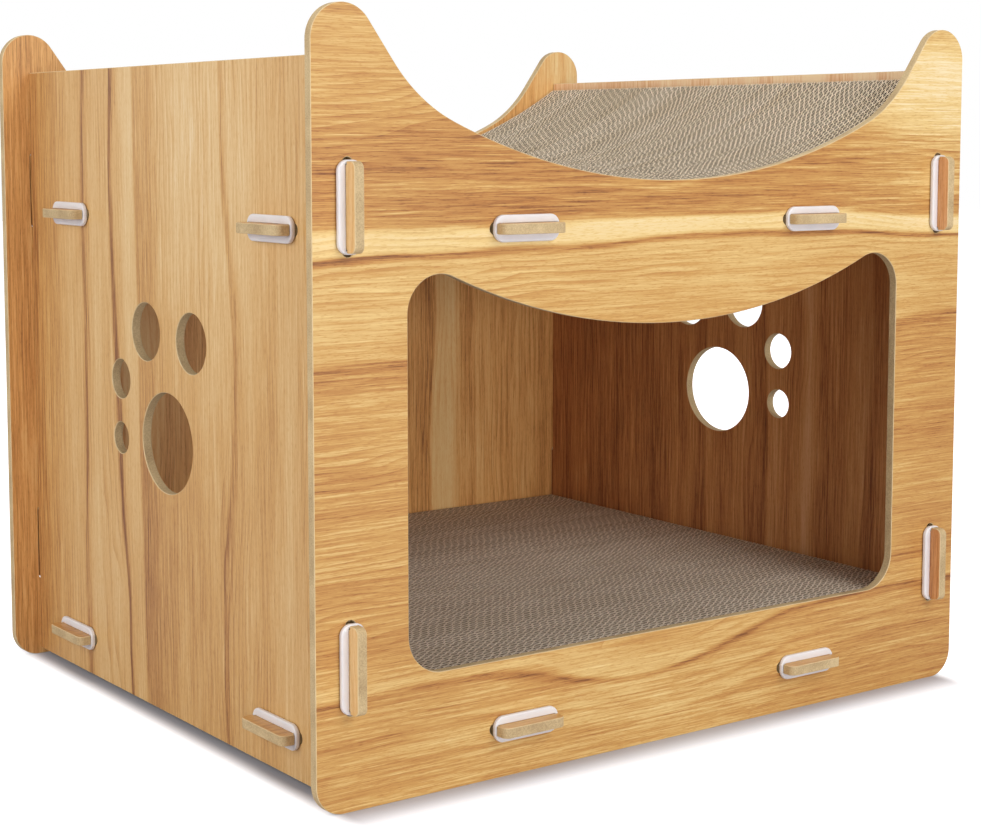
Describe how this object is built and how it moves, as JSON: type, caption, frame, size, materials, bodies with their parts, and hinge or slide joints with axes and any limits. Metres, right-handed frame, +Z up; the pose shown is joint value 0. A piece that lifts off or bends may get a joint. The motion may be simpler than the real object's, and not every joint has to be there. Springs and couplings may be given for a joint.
{
  "type": "cat scratcher house",
  "caption": "Flat-pack cat cabin of thin wood-grain boards with cat ears, a smile-topped door, paw cut-outs, a flat scratcher inside and a hollowed one on top.",
  "frame": {"origin": "on the ground, at the middle of the whole part", "axes": "+X to the right across the front, -Y out through the door, +Z up"},
  "size_m": [0.42, 0.37, 0.3639],
  "materials": {
    "face_laminate": "satin wood-grain laminate on fibreboard, level grain in front, upright grain at the back",
    "side_laminate": "satin wood-grain laminate on fibreboard, upright grain",
    "cardboard": "open flute ends of corrugated kraft board",
    "silicone": "soft translucent white silicone"
  },
  "bodies": {
    "cabin": {"front_panel": "face_laminate", "back_panel": "face_laminate", "left_side_panel": "side_laminate", "right_side_panel": "side_laminate", "floor_panel": "side_laminate", "upper_shelf": "side_laminate", "front_panel_ring_left_lower_upright": "silicone", "front_panel_ring_left_upper_upright": "silicone", "front_panel_ring_left_floor": "silicone", "front_panel_ring_left_shelf": "silicone", "front_panel_ring_right_lower_upright": "silicone", "front_panel_ring_right_upper_upright": "silicone", "front_panel_ring_right_floor": "silicone", "front_panel_ring_right_shelf": "silicone", "back_panel_ring_left_lower_upright": "silicone", "back_panel_ring_left_upper_upright": "silicone", "back_panel_ring_left_floor": "silicone", "back_panel_ring_left_shelf": "silicone", "back_panel_ring_right_lower_upright": "silicone", "back_panel_ring_right_upper_upright": "silicone", "back_panel_ring_right_floor": "silicone", "back_panel_ring_right_shelf": "silicone", "left_side_ring_front_floor": "silicone", "left_side_ring_front_shelf": "silicone", "left_side_ring_back_floor": "silicone", "left_side_ring_back_shelf": "silicone", "right_side_ring_front_floor": "silicone", "right_side_ring_front_shelf": "silicone", "right_side_ring_back_floor": "silicone", "right_side_ring_back_shelf": "silicone"},
    "flat_pad": {"floor_scratcher": "cardboard"},
    "lounge_pad": {"lounge_scratcher": "cardboard"}
  },
  "joints": [
    {"name": "flat_pad_lift", "type": "slide", "parent": "cabin", "child": "flat_pad", "axis": [0, 0, 1], "range_m": [0, 0.19]},
    {"name": "lounge_pad_lift", "type": "slide", "parent": "cabin", "child": "lounge_pad", "axis": [0, 0, 1], "range_m": [0, 0.15]}
  ]
}
